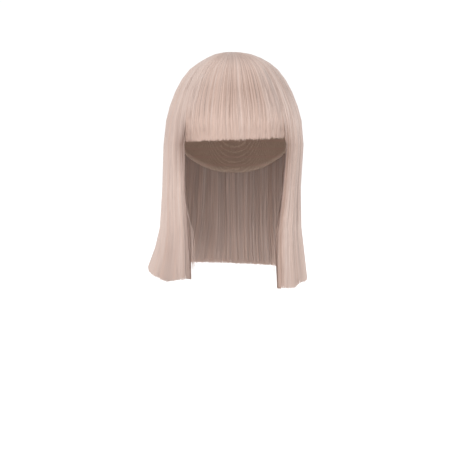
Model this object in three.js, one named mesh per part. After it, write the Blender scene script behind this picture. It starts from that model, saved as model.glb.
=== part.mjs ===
// A straight shoulder-length wig with a blunt fringe, in millimetres, +Z up.
// The wearer faces -Y, and +X is to the right of someone who looks at the face.
// The origin is the seat: the inside of the cap's crown, where the top of a head meets it.
//
// A thin stretch-net cap fits the head. Four panels of hair are laid over it: the fringe, the two
// sides and the back, combed down from a whorl at the crown. Each panel is one skin: a smooth
// backing towards the head, and locks that stand out of it and end in tips of their own.
import * as THREE from "three";

// Driving dimensions

const CAP_WALL = 1.5;
const LAY_GAP = 0.8; // between the cap and the hair on it, less the sag of a facet
const EDGE_GAP = 0.4; // between a panel's edge and the line that it shares with its neighbour
const SECTION_POWER = 2.2; // a horizontal section is a superellipse: 2 is an ellipse, more is boxier

const RIM_MID = -98; // level of the cap's edge above the ears
const RIM_TILT = 48; // the edge is this much higher at the forehead, and lower at the nape

const WHORL_LEFT = 5; // the crown's whorl lies to the left of the middle, and behind it
const WHORL_BACK = 6;
const WHORL_FADE_ROW = 3; // by this row of the form the offset is gone

const FRINGE_EDGE_DEG = 45; // azimuth of the line between the fringe and a side
const SIDE_EDGE_DEG = 112; // azimuth of the line between a side and the back
const FRINGE_GATHER = { share: 0.08, from: 4.6, to: 6.2 }; // the fringe narrows by this share as it falls
const SWAY_DEG = 1.1; // locks wander by this much to either side as they fall
const SWAY_ROWS = { from: 2, to: 7 };
const SWAY_WAVES = { round: 5, down: 0.9 }; // waves across a panel, and radians for each row

// Rows between which the hair leaves the cap and hangs, at the face and at the back
const HANG_ROWS = { face: { from: 4, to: 4.9 }, back: { from: 6, to: 7.2 } };
const FACE_EDGE = { share: 0.22, from: 7, to: 8.6 }; // part of a side that thins to the face, down to here

const LAID_ROW = 6; // panels have their sections closer together above this row
const LEVEL_ROWS = { from: LAID_ROW, to: 7.2 }; // its depth turns level here, from the scalp's normal
const LAST_CAP_ROW = 7.9;
const NORMAL_STEP_ROWS = 0.02;

const WHORL_ROWS = { from: 0.1, to: 0.5 }; // the round patch of hair at the crown
const WHORL_GAP_ROWS = 0.03; // between the patch and the panels round it
const WHORL_TWIST_DEG = 70; // the patch is combed round by this much from its middle to its edge
const WHORL_RIB = 0.12; // depth of the patch's grooves at its edge, as a share of its thickness

// A table: one line of column names, then one row for each section.
const table = (names, ...rows) =>
  rows.map((row) => Object.fromEntries(names.map((name, i) => [name, row[i]])));

// Inside of the cap: reach from the axis at each level
const HEAD_FORM = table(
  ["level", "left", "right", "front", "back"],
  [0, 0, 0, 0, 0],
  [-1.2, 20, 20, 24, 25],
  [-8, 36.5, 36.5, 43, 45],
  [-20, 53, 53, 63, 66],
  [-42, 67.5, 67.5, 80, 85],
  [-71, 75, 75, 91, 96],
  [-100, 76.5, 76.5, 94, 96],
  [-130, 75, 75, 93, 90],
  [-160, 73, 73, 92, 82],
);

// Outside of the hair, row by row over the same places on the head, and then hanging free.
// body is the depth of the hair where it hangs clear of the cap, proud the height of its locks, and
// inLeft and inRight are how far the face edges of the two sides swing in over the cheeks, in degrees.
const HAIR_FORM = table(
  ["level", "left", "right", "front", "back", "body", "proud", "inLeft", "inRight"],
  [10, 0, 0, 0, 0, 8, 1, 0, 0],
  [7.4, 21, 21, 26, 28, 8, 1.4, 0, 0],
  [-1, 40, 40, 48, 51, 8, 2.2, 0, 0],
  [-15, 60, 57.5, 69, 74, 8, 2.8, 0, 0],
  [-39, 75.5, 73, 89, 95, 8.5, 3.2, 0, 0],
  [-70, 86.5, 84.5, 101, 108, 9, 3.4, 0, 0],
  [-102, 91.5, 89.5, 105, 111, 10, 3.4, -1.2, -4],
  [-150, 93, 86.5, 104, 109, 11, 3.6, 0.5, -3.5],
  [-200, 96.5, 85.5, 102, 105, 11, 3.6, 5, 2.5],
  [-235, 102.5, 88.5, 102, 103, 10, 3.4, 9.6, 7],
  [-295, 122, 95, 105, 103, 7, 2.6, 20, 10.5],
);

// The cut line: level of the tips round the wig, by azimuth from the face, left is negative
const FRINGE_CUT = [
  { azimuth: -45, level: -106 },
  { azimuth: 0, level: -103.5 },
  { azimuth: 45, level: -100 },
];
const HAIR_CUT = [
  { azimuth: -180, level: -268 },
  { azimuth: -112, level: -264 },
  { azimuth: -90, level: -267 },
  { azimuth: -76, level: -272 },
  { azimuth: -58, level: -278 },
  { azimuth: -45, level: -273 },
  { azimuth: 45, level: -285 },
  { azimuth: 58, level: -287 },
  { azimuth: 65, level: -280 },
  { azimuth: 90, level: -278 },
  { azimuth: 112, level: -271 },
  { azimuth: 180, level: -268 },
];

// Panels: the azimuths that each spans, its locks, its depth where it hangs as a share of the form's,
// the share of that at its face edge, how it narrows, and how uneven its cut is: 0 is blunt
const STRAIGHT = { share: 0, from: 0, to: 1 };
const PANELS = [
  {
    node: "fringe", from: -FRINGE_EDGE_DEG, to: FRINGE_EDGE_DEG, locks: 15, cut: FRINGE_CUT,
    thin: 0.72, edge: 1, gather: FRINGE_GATHER, notch: 0.25,
  },
  {
    node: "side_hair_right", from: FRINGE_EDGE_DEG, to: SIDE_EDGE_DEG, locks: 7, cut: HAIR_CUT,
    thin: 1, edge: 0.55, gather: STRAIGHT, notch: 0.7,
  },
  {
    node: "side_hair_left", from: -SIDE_EDGE_DEG, to: -FRINGE_EDGE_DEG, locks: 7, cut: HAIR_CUT,
    thin: 1, edge: 0.55, gather: STRAIGHT, notch: 0.7,
  },
  {
    node: "back_hair", from: SIDE_EDGE_DEG, to: 360 - SIDE_EDGE_DEG, locks: 14, cut: HAIR_CUT,
    thin: 1, edge: 1, gather: STRAIGHT, notch: 0.7,
  },
];

// How neighbouring locks differ, repeated along a panel: width and height are shares, crest is the
// place of the highest line across the lock, and drop is how much longer than the cut it is, in mm
const LOCK_CYCLE = [
  { width: 1.0, height: 1.0, crest: 0.4, drop: 0.5 },
  { width: 1.4, height: 0.7, crest: 0.6, drop: 2 },
  { width: 0.7, height: 0.9, crest: 0.5, drop: -1 },
  { width: 1.2, height: 0.8, crest: 0.35, drop: 1.5 },
  { width: 0.8, height: 1.0, crest: 0.62, drop: -1.5 },
];

// A lock's section from the valley before it to its crest and on towards the next valley. up is
// the way to the crest and past it, height is a share, and lift is how far above the lock's tip
// the hair there ends, in mm.
const LOCK_SECTION = [
  { up: 0, past: 0, height: 0, lift: 5 },
  { up: 0.45, past: 0, height: 0.7, lift: 1 },
  { up: 1, past: 0, height: 1, lift: 0 },
  { up: 1, past: 0.55, height: 0.7, lift: 1 },
];

const CAP_COLUMNS = 40;
const CAP_RINGS = 9;
const WHORL_COLUMNS = 24;
const WHORL_RINGS = 4;
const LAID_STATIONS = 10; // sections of a panel where it lies on the cap
const HUNG_STATIONS = 4; // and where it hangs

// Surfaces

const clamp01 = (value) => THREE.MathUtils.clamp(value, 0, 1);
const smooth = (value, { from, to }) => THREE.MathUtils.smoothstep(value, from, to);
const spread = (from, to, count) =>
  Array.from({ length: count }, (_, i) => THREE.MathUtils.lerp(from, to, i / (count - 1)));

// A form: its rows, and a smooth curve of (value, level) down through each of their columns.
function makeForm(rows) {
  const down = (name) =>
    new THREE.SplineCurve(rows.map((row) => new THREE.Vector2(row[name], row.level)));
  return { rows, curves: Object.fromEntries(Object.keys(rows[0]).map((name) => [name, down(name)])) };
}

const head = makeForm(HEAD_FORM);
const hair = makeForm(HAIR_FORM);

// A named column of a form between its rows.
function column(form, name, row) {
  return form.curves[name].getPoint(row / (form.rows.length - 1)).x;
}

// An azimuth brought to -180..180.
const wrap = (azimuth) => THREE.MathUtils.euclideanModulo(azimuth + 180, 360) - 180;

// A level read off a table of azimuths.
function byAzimuth(levels, azimuth) {
  const wrapped = wrap(azimuth);
  const after = Math.max(1, levels.findIndex((row) => row.azimuth >= wrapped));
  const [a, b] = [levels[after - 1], levels[after]];
  return THREE.MathUtils.lerp(
    a.level, b.level, clamp01((wrapped - a.azimuth) / (b.azimuth - a.azimuth)),
  );
}

// The place on a form at an azimuth from the face and at a row, counted down from the crown.
function onForm(form, azimuth, row) {
  const angle = THREE.MathUtils.degToRad(azimuth);
  const [across, ahead] = [Math.sin(angle), Math.cos(angle)];
  const side = column(form, across < 0 ? "left" : "right", row);
  const fore = column(form, ahead < 0 ? "back" : "front", row);
  const bent = (value) => Math.sign(value) * Math.abs(value) ** (2 / SECTION_POWER);
  const fade = (1 - clamp01(row / WHORL_FADE_ROW)) ** 2;
  return new THREE.Vector3(
    side * bent(across) - WHORL_LEFT * fade,
    WHORL_BACK * fade - fore * bent(ahead),
    column(form, "level", row),
  );
}

// The cap's inside, moved out along its own normal.
function onCap(azimuth, row, out) {
  const at = onForm(head, azimuth, row);
  const [above, below] = [row - NORMAL_STEP_ROWS, row + NORMAL_STEP_ROWS];
  const down = onForm(head, azimuth, below).sub(onForm(head, azimuth, above));
  const round = onForm(head, azimuth + 1, row).sub(onForm(head, azimuth - 1, row));
  return at.addScaledVector(round.cross(down).normalize(), -out);
}

// The row of a form at a level.
function rowAt(form, level) {
  const i = form.rows.findIndex((row, k) => k > 0 && row.level <= level);
  const [above, below] = [form.rows[i - 1], form.rows[i]];
  return i - 1 + (above.level - level) / (above.level - below.level);
}

// How far round from the line of the fringe an azimuth lies: 0 up to there, and 1 from the back on.
function rearward(azimuth) {
  return clamp01((Math.abs(wrap(azimuth)) - FRINGE_EDGE_DEG) / (SIDE_EDGE_DEG - FRINGE_EDGE_DEG));
}

// The face edges of the sides swing in over the cheeks as they fall. The middle of the fringe and the
// back hang straight.
function combed(azimuth, row) {
  const wrapped = wrap(azimuth);
  const swing = column(hair, wrapped < 0 ? "inLeft" : "inRight", row);
  const share = Math.min(Math.abs(wrapped) / FRINGE_EDGE_DEG, 1 - rearward(azimuth));
  return azimuth - Math.sign(wrapped) * swing * share;
}

// The depth of a panel's hair where it lies on the cap, given, and where it hangs clear of it.
function depthAt(panel, azimuth, row, laid) {
  const round = rearward(azimuth);
  const rows = {
    from: THREE.MathUtils.lerp(HANG_ROWS.face.from, HANG_ROWS.back.from, round),
    to: THREE.MathUtils.lerp(HANG_ROWS.face.to, HANG_ROWS.back.to, round),
  };
  const full = Math.max(clamp01(round / FACE_EDGE.share), smooth(row, FACE_EDGE));
  const hung = column(hair, "body", row) * panel.thin * THREE.MathUtils.lerp(panel.edge, 1, full);
  return THREE.MathUtils.lerp(laid, hung, smooth(row, rows));
}

// The azimuths of a panel's edges at a row, a small gap in from the lines that it shares.
function edges(panel, row) {
  const middle = onForm(head, (panel.from + panel.to) / 2, Math.min(row, LAST_CAP_ROW));
  const inset = THREE.MathUtils.radToDeg(EDGE_GAP / Math.hypot(middle.x, middle.y));
  const narrow = 1 - panel.gather.share * smooth(row, panel.gather);
  return [(panel.from + inset) * narrow, (panel.to - inset) * narrow];
}

// The azimuth of a place across a panel, which wanders a little between the panel's edges.
function swayed(panel, across, row) {
  const [from, to] = edges(panel, row);
  const wave = Math.sin(SWAY_WAVES.round * Math.PI * across + SWAY_WAVES.down * row);
  const sway = SWAY_DEG * wave * smooth(row, SWAY_ROWS) * Math.sin(Math.PI * across);
  return THREE.MathUtils.lerp(from, to, across) + sway;
}

// A place in a panel's hair: share 0 lies on the cap or faces the neck, and share 1 is the outside.
function inHair(panel, azimuth, row, share) {
  const turned = combed(azimuth, row);
  const outside = onForm(hair, turned, row);
  const level = outside.clone().setZ(0).normalize().negate();
  const inward = onCap(turned, Math.min(row, LAST_CAP_ROW), CAP_WALL + LAY_GAP).sub(outside);
  const depth = depthAt(panel, azimuth, row, inward.length());
  inward.normalize().lerp(level, smooth(row, LEVEL_ROWS)).normalize();
  return outside.addScaledVector(inward, depth * (1 - share));
}

// Solids

// A closed mesh through loops of equal length. Its ends are closed across each loop, first to last.
function loft(loops) {
  const count = loops[0].length;
  const triangles = [];
  for (let i = 0; i < loops.length - 1; i++)
    for (let k = 0; k < count; k++) {
      const [a, b] = [i * count + k, i * count + ((k + 1) % count)];
      triangles.push(a, b + count, b, a, a + count, b + count);
    }
  const top = (loops.length - 1) * count;
  for (let k = 0; k < count / 2 - 1; k++) {
    const [a, b, c, d] = [k, k + 1, count - 2 - k, count - 1 - k];
    triangles.push(a, b, c, a, c, d);
    triangles.push(top + a, top + c, top + b, top + a, top + d, top + c);
  }
  const geometry = new THREE.BufferGeometry().setFromPoints(loops.flat());
  geometry.setIndex(triangles);
  return geometry;
}

// Pieces

// The cap: outside rings from the crown to the edge, then inside rings back up to the crown.
function wigCap() {
  const azimuths = spread(0, 360, CAP_COLUMNS + 1).slice(0, -1);
  const edge = (azimuth) =>
    rowAt(head, RIM_MID + RIM_TILT * Math.cos(THREE.MathUtils.degToRad(azimuth)));
  const ring = (share, out) =>
    azimuths.map((azimuth) =>
      onCap(azimuth, THREE.MathUtils.lerp(WHORL_ROWS.from, edge(azimuth), share), out),
    );
  const shares = spread(0, 1, CAP_RINGS);
  return loft([
    ...shares.map((share) => ring(share, CAP_WALL)),
    ...shares.toReversed().map((share) => ring(share, 0)),
  ]);
}

// The whorl: the round patch at the crown that all the hair is combed from, ribbed and twisted.
function crownWhorl(panel) {
  const azimuths = spread(0, 360, WHORL_COLUMNS + 1).slice(0, -1);
  const shares = spread(0, 1, WHORL_RINGS);
  const ring = (share, isOutside) =>
    azimuths.map((azimuth, i) => {
      const row = THREE.MathUtils.lerp(WHORL_ROWS.from, WHORL_ROWS.to, share);
      const height = isOutside ? 1 - (i % 2) * share * WHORL_RIB : 0;
      return inHair(panel, azimuth - WHORL_TWIST_DEG * share, row, height);
    });
  return loft([
    ...shares.map((share) => ring(share, true)),
    ...shares.toReversed().map((share) => ring(share, false)),
  ]);
}

// The rows of a panel's sections, close together on the curve of the head.
function stations(tip) {
  const root = WHORL_ROWS.to + WHORL_GAP_ROWS;
  const hangs = tip > LAID_ROW + 1;
  const laid = spread(root, hangs ? LAID_ROW : tip, LAID_STATIONS);
  return hangs ? [...laid, ...spread(LAID_ROW, tip, HUNG_STATIONS + 1).slice(1)] : laid;
}

// The lines that a panel's hair is combed along: place across the panel, height and end of each.
function combLines(panel) {
  const locks = Array.from({ length: panel.locks }, (_, i) => LOCK_CYCLE[i % LOCK_CYCLE.length]);
  const whole = locks.reduce((sum, lock) => sum + lock.width, 0);
  const [valley] = LOCK_SECTION;
  let start = 0;
  const lines = locks.flatMap((lock) => {
    const section = LOCK_SECTION.map(({ up, past, height, lift }) => ({
      across: (start + (up * lock.crest + past * (1 - lock.crest)) * lock.width) / whole,
      height: height * lock.height,
      drop: (lock.drop - lift) * panel.notch,
    }));
    start += lock.width;
    return section;
  });
  return [...lines, { across: 1, height: valley.height, drop: -valley.lift * panel.notch }];
}

// A panel of hair: at each section the outside runs over the locks, and the inside runs back.
function hairPanel(panel) {
  const columns = combLines(panel).map(({ across, height, drop }) => {
    const line = THREE.MathUtils.lerp(panel.from, panel.to, across);
    return stations(rowAt(hair, byAzimuth(panel.cut, line) - drop)).map((row) => {
      const azimuth = swayed(panel, across, row);
      const depth = inHair(panel, azimuth, row, 0).distanceTo(inHair(panel, azimuth, row, 1));
      const share = 1 - ((1 - height) * column(hair, "proud", row)) / depth;
      return { outside: inHair(panel, azimuth, row, share), inside: inHair(panel, azimuth, row, 0) };
    });
  });
  return loft(
    columns[0].map((_, station) => {
      const section = columns.map((places) => places[station]);
      return [
        ...section.map(({ outside }) => outside),
        ...section.toReversed().map(({ inside }) => inside),
      ];
    }),
  );
}

// The wig

const netCloth = new THREE.MeshStandardMaterial({ color: 0xcdb8a6, roughness: 0.9, metalness: 0 });
const fibre = new THREE.MeshStandardMaterial({ color: 0xd4bbaf, roughness: 0.45, metalness: 0 });

function piece(name, geometry, material) {
  geometry.computeVertexNormals();
  const mesh = new THREE.Mesh(geometry, material);
  mesh.name = name;
  return mesh;
}

const wig = new THREE.Group();
wig.add(piece("wig_cap", wigCap(), netCloth));
wig.add(piece("crown_whorl", crownWhorl(PANELS[0]), fibre));
for (const panel of PANELS) wig.add(piece(panel.node, hairPanel(panel), fibre));

export default wig;
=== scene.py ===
"""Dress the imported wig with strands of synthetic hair, a net cap and a white studio.

The solids of the hair are replaced by thousands of thin strands, combed along the same form: down from
the whorl at the crown over the cap, and then hanging to the cut line. A thin under-layer of hair keeps
light from showing through between them.
"""

import logging
import math
from dataclasses import astuple, dataclass
from enum import Enum

import bmesh
import bpy
import numpy as np
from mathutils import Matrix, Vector


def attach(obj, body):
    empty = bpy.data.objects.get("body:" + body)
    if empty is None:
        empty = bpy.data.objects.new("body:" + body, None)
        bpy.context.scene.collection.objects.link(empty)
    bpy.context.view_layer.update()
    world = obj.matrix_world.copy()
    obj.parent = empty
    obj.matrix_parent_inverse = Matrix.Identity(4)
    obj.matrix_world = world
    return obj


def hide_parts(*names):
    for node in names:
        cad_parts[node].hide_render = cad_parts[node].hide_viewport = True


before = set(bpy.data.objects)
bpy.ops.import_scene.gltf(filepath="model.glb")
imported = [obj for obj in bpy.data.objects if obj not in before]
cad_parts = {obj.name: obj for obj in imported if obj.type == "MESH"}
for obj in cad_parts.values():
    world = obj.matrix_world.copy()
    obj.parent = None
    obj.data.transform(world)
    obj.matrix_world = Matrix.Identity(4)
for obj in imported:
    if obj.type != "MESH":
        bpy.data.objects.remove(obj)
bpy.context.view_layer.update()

MM = 0.001
BODY = "root"
SEED = 20417
LOG = logging.getLogger("wig")


class Slot(Enum):
    """The record's material slots."""

    HAIR = "hair_fibre"
    CAP = "cap_net"


# Small helpers


def srgb(code: str) -> tuple[float, float, float, float]:
    """Turn an sRGB hex colour to linear.

    Args:
        code: Six hex digits.

    Returns:
        Linear red, green and blue, with an alpha of 1.
    """
    values = [int(code[i : i + 2], 16) / 255 for i in (0, 2, 4)]
    linear = [v / 12.92 if v <= 0.04045 else ((v + 0.055) / 1.055) ** 2.4 for v in values]
    return (*linear, 1.0)


def smoothstep(value: np.ndarray, start: float, end: float) -> np.ndarray:
    """Rise smoothly from 0 at start to 1 at end.

    Args:
        value: Where to read it.
        start: Where it starts to rise.
        end: Where it has risen.

    Returns:
        The share, of value's shape.
    """
    share = np.clip((value - start) / (end - start), 0.0, 1.0)
    return share * share * (3.0 - 2.0 * share)


def unit(vectors: np.ndarray) -> np.ndarray:
    """Scale vectors along the last axis to a length of 1."""
    return vectors / np.maximum(np.linalg.norm(vectors, axis=-1, keepdims=True), 1e-12)


def add_node(
    tree: bpy.types.NodeTree,
    kind: str,
    settings: dict[str, object] | None = None,
    inputs: dict[str | int, object] | None = None,
) -> bpy.types.Node:
    """Add a node with its settings and its inputs.

    Args:
        tree: The material's or world's nodes.
        kind: The node's type name in Blender.
        settings: Attributes of the node.
        inputs: By input name or index, an output socket to link from or a value to set.

    Returns:
        The new node.
    """
    node = tree.nodes.new(kind)
    for name, value in (settings or {}).items():
        setattr(node, name, value)
    for name, value in (inputs or {}).items():
        if isinstance(value, bpy.types.NodeSocket):
            tree.links.new(value, node.inputs[name])
        else:
            node.inputs[name].default_value = value
    return node


def add_object(name: str, data: bpy.types.ID) -> bpy.types.Object:
    """Add an object to the scene.

    Args:
        name: Its name.
        data: Its mesh, light or camera.

    Returns:
        The object.
    """
    item = bpy.data.objects.new(name, data)
    bpy.context.scene.collection.objects.link(item)
    return item


# The form of the wig


@dataclass(frozen=True)
class FormRow:
    """One level section of a form, in millimetres from the axis through the seat.

    Attributes:
        level: Height above the seat.
        left: Reach to the left of someone who looks at the face.
        right: Reach to the right.
        front: Reach towards the face.
        back: Reach towards the back.
        body: Depth of the hair where it hangs clear of the cap.
        proud: Height of the locks.
        in_left: How far the face edge of the left side swings in over the cheek, in degrees.
        in_right: The same for the right side.
    """

    level: float
    left: float
    right: float
    front: float
    back: float
    body: float = 0.0
    proud: float = 0.0
    in_left: float = 0.0
    in_right: float = 0.0


HEAD_ROWS = (
    FormRow(0, 0, 0, 0, 0),
    FormRow(-1.2, 20, 20, 24, 25),
    FormRow(-8, 36.5, 36.5, 43, 45),
    FormRow(-20, 53, 53, 63, 66),
    FormRow(-42, 67.5, 67.5, 80, 85),
    FormRow(-71, 75, 75, 91, 96),
    FormRow(-100, 76.5, 76.5, 94, 96),
    FormRow(-130, 75, 75, 93, 90),
    FormRow(-160, 73, 73, 92, 82),
)
HAIR_ROWS = (
    FormRow(10, 0, 0, 0, 0, 8, 1, 0, 0),
    FormRow(7.4, 21, 21, 26, 28, 8, 1.4, 0, 0),
    FormRow(-1, 40, 40, 48, 51, 8, 2.2, 0, 0),
    FormRow(-15, 60, 57.5, 69, 74, 8, 2.8, 0, 0),
    FormRow(-39, 75.5, 73, 89, 95, 8.5, 3.2, 0, -0.3),
    FormRow(-70, 86.5, 84.5, 101, 108, 9, 3.4, 0, -2),
    FormRow(-102, 91.5, 89.5, 105, 111, 10, 3.4, -1.2, -4),
    FormRow(-150, 93, 86.5, 104, 109, 11, 3.6, 0.5, -3.5),
    FormRow(-200, 95.8, 85.5, 102, 105, 11, 3.6, 5, 2.5),
    FormRow(-235, 100.7, 89, 102, 103, 10, 3.4, 9.6, 7),
    FormRow(-295, 123, 96, 105, 103, 7, 2.6, 20, 10.5),
)
LENGTHS = ("level", "left", "right", "front", "back", "body", "proud")
ANGLES = ("in_left", "in_right")

SECTION_POWER = 2.2  # level sections are a little squarer than an ellipse, whose power is 2
WHORL_LEFT = 5 * MM  # the whorl lies to the left of the seat and behind it
WHORL_BACK = 6 * MM
WHORL_FADE_ROW = 3.0  # from this row on the sections are centred on the seat
CAP_WALL = 1.5 * MM
LAY_GAP = 0.8 * MM  # between the cap and the hair that lies on it
LAST_CAP_ROW = 7.9  # depth is counted to the head's form down to this row
CROWN_ROW = 0.005  # nearest row to the crown that slopes are read at
FRINGE_EDGE_DEG = 45.0
SIDE_EDGE_DEG = 112.0
PANEL_REACH_MM = 95.0  # distance from the axis at which panels are measured across


@dataclass(frozen=True)
class Rows:
    """Two rows between which something changes smoothly."""

    start: float
    end: float

    def share(self, row: np.ndarray) -> np.ndarray:
        """How far the change has gone at each row: 0 before the first and 1 after the last."""
        return smoothstep(row, self.start, self.end)


# Strands bend over the head at the same rows in all the panels, so that none cuts through another there
HEAD_BENDS = (0.02, 0.6, 1.15, 1.75, 2.35, 2.9, 3.5, 4.1, 4.7, 5.3)

LEVEL_ROWS = Rows(6, 7.2)  # the depth of the hair turns level here, from the scalp's normal
FACE_HANG = Rows(4, 4.9)  # the hair leaves the cap here at the face
BACK_HANG = Rows(6, 7.2)  # and here at the back
EDGE_ROWS = Rows(7, 8.6)  # the sides thin to the face down to here
EDGE_SHARE = 0.22  # part of a side that thins
SWAY_ROWS = Rows(2, 7)  # panels start to wander sideways over these
SWAY_DEG = 1.1
SWAY_HALF_WAVES = 5  # across a panel
SWAY_PER_ROW = 0.9  # radians
GATHER_ROWS = Rows(4.6, 6.2)  # panels that narrow do so over these
CURL_ROWS = 1.1  # the tips turn in over these last rows
MOST_CURL = 1.2  # and strands past the cut line go on turning in to this share
TIP_ROWS = 2.2  # tones change and wisps draw together over these last rows
LAST_STEP = 0.03  # least rows from a strand's last bend to its tip
SLOPE_MM = 1.5  # distance to both sides at which slopes of the hair are read
SLOPE_ROWS = 0.05  # and the rows up and down
ROLL_WIDE_MM = 9.0  # the sides roll in at the face over this width
ROLL_ROWS = Rows(5.6, 7.2)
SEAM_SHARE = 0.03  # how far strands cross into the next panel, as a share of their own
HOLLOW_MM = 2.2  # the hair turns in over the temples
HOLLOW_IN = Rows(4.6, 5.8)
HOLLOW_OUT = Rows(6.2, 7.2)
# Painted shade darkens the hair in the hollow over the temple from these rows on
PAINTED_DUSK_ROWS = Rows(5.05, 5.65)  # it lies in the shade from here on
SPILL_SHARE = 0.034  # how far hair of the face edge spills in behind the fringe, as a share of the side
SPILL_ROWS = Rows(5.5, 6.5)  # it draws back over these
# Painted sheen: the edges of a panel look greyer between these rows
SHEEN_ASH_IN = Rows(2.2, 3.6)  # the edges of a panel show less rose fibre between these
SHEEN_ASH_OUT = Rows(4.6, 5.6)


def between(row: np.ndarray, rise: Rows, fall: Rows) -> np.ndarray:
    """The share at each row of something that sets in over some rows and ends over others."""
    return rise.share(row) * (1 - fall.share(row))


def near_tip(row: np.ndarray, tip: np.ndarray, rows: float) -> np.ndarray:
    """How far each row has gone through the last rows before a tip: 0 above them and 1 at the tip."""
    return smoothstep(row, tip - rows, tip)


class Form:
    """A surface through level sections, read by azimuth from the face and by row from the crown."""

    def __init__(self, rows: tuple[FormRow, ...]) -> None:
        """Keep each column of the table as an array, lengths in metres.

        Args:
            rows: The sections, from the crown down.
        """
        self.columns = {name: np.array([getattr(r, name) for r in rows]) * MM for name in LENGTHS}
        self.columns |= {name: np.array([getattr(r, name) for r in rows]) for name in ANGLES}
        self.last = len(rows) - 1

    def column(self, name: str, row: np.ndarray) -> np.ndarray:
        """Read a column between its rows, along a curve through them.

        Args:
            name: The column.
            row: Rows counted from the crown.

        Returns:
            Values in metres or degrees, of row's shape.
        """
        values = self.columns[name]
        i = np.clip(np.floor(row).astype(int), 0, self.last - 1)
        t = row - i
        before, here = values[np.maximum(i - 1, 0)], values[i]
        there, after = values[i + 1], values[np.minimum(i + 2, self.last)]
        slope_here, slope_there = (there - before) / 2, (after - here) / 2
        cubic = 2 * here - 2 * there + slope_here + slope_there
        square = -3 * here + 3 * there - 2 * slope_here - slope_there
        return ((cubic * t + square) * t + slope_here) * t + here

    def row_at(self, level: np.ndarray) -> np.ndarray:
        """The row at each level, in metres above the seat."""
        return np.interp(-level, -self.columns["level"], np.arange(self.last + 1))

    def place(self, azimuth: np.ndarray, row: np.ndarray) -> np.ndarray:
        """Places on the form.

        Args:
            azimuth: Degrees from the face, to the right.
            row: Rows counted from the crown.

        Returns:
            Points, with one axis more than azimuth.
        """
        angle = np.radians(azimuth)
        across, ahead = np.sin(angle), np.cos(angle)
        side = np.where(across < 0, self.column("left", row), self.column("right", row))
        fore = np.where(ahead < 0, self.column("back", row), self.column("front", row))
        power = 2 / SECTION_POWER
        fade = (1 - np.clip(row / WHORL_FADE_ROW, 0, 1)) ** 2
        x = side * np.sign(across) * np.abs(across) ** power - WHORL_LEFT * fade
        y = WHORL_BACK * fade - fore * np.sign(ahead) * np.abs(ahead) ** power
        return np.stack([x, y, self.column("level", row) + 0 * x], axis=-1)


HEAD = Form(HEAD_ROWS)
HAIR = Form(HAIR_ROWS)


def wrapped(azimuth: np.ndarray) -> np.ndarray:
    """Bring azimuths to -180..180 degrees."""
    return (azimuth + 180) % 360 - 180


def evened(azimuth: np.ndarray) -> np.ndarray:
    """Space azimuths evenly round a section, which draws them apart at the front, sides and back.

    Args:
        azimuth: Even angles from the face, in degrees.

    Returns:
        The azimuths whose places on the form lie evenly.
    """
    angle = np.radians(azimuth)
    across, ahead = np.sin(angle), np.cos(angle)
    power = SECTION_POWER / 2
    spaced = np.arctan2(np.sign(across) * np.abs(across) ** power, np.sign(ahead) * np.abs(ahead) ** power)
    return azimuth + wrapped(np.degrees(spaced) - azimuth)


def rearward(azimuth: np.ndarray) -> np.ndarray:
    """How far round from the line of the fringe azimuths lie: 0 up to there, and 1 from the back on."""
    return np.clip((np.abs(wrapped(azimuth)) - FRINGE_EDGE_DEG) / (SIDE_EDGE_DEG - FRINGE_EDGE_DEG), 0, 1)


def combed(azimuth: np.ndarray, row: np.ndarray) -> np.ndarray:
    """Swing the face edges of the sides in over the cheeks as they fall.

    Args:
        azimuth: Degrees from the face.
        row: Rows counted from the crown.

    Returns:
        The azimuths after combing. The middle of the fringe and the back hang straight.
    """
    turned = wrapped(azimuth)
    swing = np.where(turned < 0, HAIR.column("in_left", row), HAIR.column("in_right", row))
    share = np.minimum(np.abs(turned) / FRINGE_EDGE_DEG, 1 - rearward(azimuth))
    return azimuth - np.sign(turned) * swing * share


# The cut line: level of the tips in millimetres, by azimuth from the face
FRINGE_CUT = ((-45, -106), (0, -103.5), (45, -100))
HAIR_CUT = (
    (-180, -268), (-112, -264), (-90, -265), (-76, -269.5), (-58, -278), (-45, -273),
    (45, -285), (58, -287), (65, -280), (90, -278), (112, -271), (180, -268),
)


SHOULDERS = (0.45, 0.55)  # places of a lock's shoulders on the way to its crest and on the way down
SHOULDER_HEIGHT = 0.7  # as a share of the crest's


@dataclass(frozen=True)
class Lock:
    """How one lock differs from its neighbours: width and height as shares, and place of its crest."""

    width: float
    height: float
    crest: float

    @property
    def section(self) -> tuple[tuple[float, float], ...]:
        """Places across the lock from the valley before it, each with the lock's height there."""
        before, after = SHOULDERS
        shoulder = SHOULDER_HEIGHT * self.height
        down = self.crest + after * (1 - self.crest)
        return (0, 0), (before * self.crest, shoulder), (self.crest, self.height), (down, shoulder)


LOCK_CYCLE = (
    Lock(1.0, 1.0, 0.4), Lock(1.4, 0.7, 0.6), Lock(0.7, 0.9, 0.5), Lock(1.2, 0.8, 0.35), Lock(0.8, 1.0, 0.62)
)


@dataclass(frozen=True)
class SheenShadeBand:
    """A soft band of lighter or darker strands down a panel: painted sheen where it is lighter, painted
    shade where it is darker.

    Attributes:
        from_face: Distance of its middle from the panel's face edge, in mm.
        half: Distance over which it fades, in mm.
        tone: How much lighter its strands are.
        rows: Rows over which it sets in.
        fade: Rows over which it ends.
    """

    from_face: float
    half: float
    tone: float
    rows: Rows = Rows(5.0, 7.0)
    fade: Rows = Rows(20.0, 21.0)


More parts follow.
